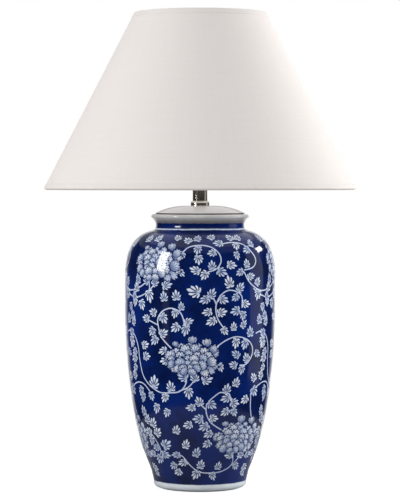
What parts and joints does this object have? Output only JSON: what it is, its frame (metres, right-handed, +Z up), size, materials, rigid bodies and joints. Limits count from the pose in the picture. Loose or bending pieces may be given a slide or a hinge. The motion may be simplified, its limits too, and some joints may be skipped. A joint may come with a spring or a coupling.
{
  "type": "table lamp",
  "caption": "Tall ginger jar table lamp: a glazed blue and white jar on a felt ring, a lid, a metal neck, a lampholder with harp and bulb, and a plain cone shade.",
  "frame": {"origin": "on the lamp's axis, on the surface that the felt stands on", "axes": "+Z up along the lamp's axis; -Y towards the front, where the rotary key is; +Y towards the back, where the cord leaves; +X to the viewer's right"},
  "size_m": [0.5013, 0.5014, 0.7622],
  "materials": {
    "glazed_jar": "high gloss cobalt glaze with a pale scroll",
    "lid_glaze": "gloss",
    "felt": "matt felt",
    "gasket": "matt",
    "bush_plastic": "satin",
    "zinc_steel": "zinc plated",
    "nickel": "polished nickel",
    "brass": "satin",
    "liner_card": "matt",
    "moulded_core": "gloss",
    "key_plastic": "gloss",
    "bulb_metal": "satin",
    "bulb_glass_black": "gloss",
    "bulb_white": "satin",
    "light_board": "satin",
    "opal_globe": "opal",
    "shade_fabric": "fine off-white weave on a stiff backing",
    "shade_trim": "fine off-white weave",
    "white_wire": "white epoxy"
  },
  "bodies": {
    "base": {"jar_body": "glazed_jar", "cord_grommet": "bush_plastic", "foot_felt": "felt", "lid_gasket": "gasket", "lid": "lid_glaze", "base_washer": "zinc_steel", "base_nut": "zinc_steel", "lamp_rod": "zinc_steel", "neck_collar": "nickel", "neck_tube": "nickel", "harp_saddle": "nickel", "saddle_nut": "zinc_steel", "holder_cap": "nickel", "set_screw": "zinc_steel", "holder_shell": "nickel", "holder_liner": "liner_card", "holder_core": "moulded_core", "screw_shell": "brass", "centre_tongue": "brass", "terminal_screws": "brass"},
    "harp": {"harp_bow": "nickel", "harp_stud": "nickel"},
    "left_sleeve": {"sleeve_left": "nickel"},
    "right_sleeve": {"sleeve_right": "nickel"},
    "key": {"key_shaft": "brass", "key_knob": "key_plastic"},
    "bulb_tip": {"bulb_contact": "bulb_metal"},
    "bulb": {"bulb_insulator": "bulb_glass_black", "bulb_cap": "bulb_metal", "bulb_collar": "bulb_white", "light_board": "light_board", "bulb_globe": "opal_globe"},
    "shade_seat": {"spider_bush": "nickel"},
    "shade": {"shade_cover": "shade_fabric", "shade_top_ring": "white_wire", "shade_bottom_ring": "white_wire", "shade_top_hem": "shade_trim", "shade_bottom_hem": "shade_trim", "shade_spider": "white_wire"},
    "finial_base": {"finial_foot": "nickel"},
    "finial_top": {"finial_knob": "nickel"}
  },
  "joints": [
    {"name": "harp_lift", "type": "slide", "parent": "base", "child": "harp", "axis": [0, 0, 1], "range_m": [0, 0.016]},
    {"name": "left_sleeve_lift", "type": "slide", "parent": "harp", "child": "left_sleeve", "axis": [0, 0, 1], "range_m": [0, 0.018]},
    {"name": "right_sleeve_lift", "type": "slide", "parent": "harp", "child": "right_sleeve", "axis": [0, 0, 1], "range_m": [0, 0.018]},
    {"name": "shade_lift", "type": "slide", "parent": "harp", "child": "shade_seat", "axis": [0, 0, 1], "range_m": [0, 0.3]},
    {"name": "shade_turn", "type": "hinge", "parent": "shade_seat", "child": "shade", "pos_m": [0, 0, 0.74], "axis": [0, 0, 1], "continuous": true},
    {"name": "finial_lift", "type": "slide", "parent": "shade_seat", "child": "finial_base", "axis": [0, 0, 1], "range_m": [0, 0.0095]},
    {"name": "finial_turn", "type": "hinge", "parent": "finial_base", "child": "finial_top", "pos_m": [0, 0, 0.745], "axis": [0, 0, 1], "range_deg": [0, 3600]},
    {"name": "bulb_lift", "type": "slide", "parent": "base", "child": "bulb_tip", "axis": [0, 0, 1], "range_m": [0, 0.0182]},
    {"name": "bulb_turn", "type": "hinge", "parent": "bulb_tip", "child": "bulb", "pos_m": [0, 0, 0.57], "axis": [0, 0, 1], "range_deg": [0, 1800]},
    {"name": "key_turn", "type": "hinge", "parent": "base", "child": "key", "pos_m": [0, -0.02, 0.55354], "axis": [0, -1, 0], "continuous": true}
  ],
  "couplings": [
    {"joint": "bulb_lift", "follows": "bulb_turn", "m_per_rad": 0.00057773},
    {"joint": "finial_lift", "follows": "finial_turn", "m_per_rad": 0.00014976}
  ]
}
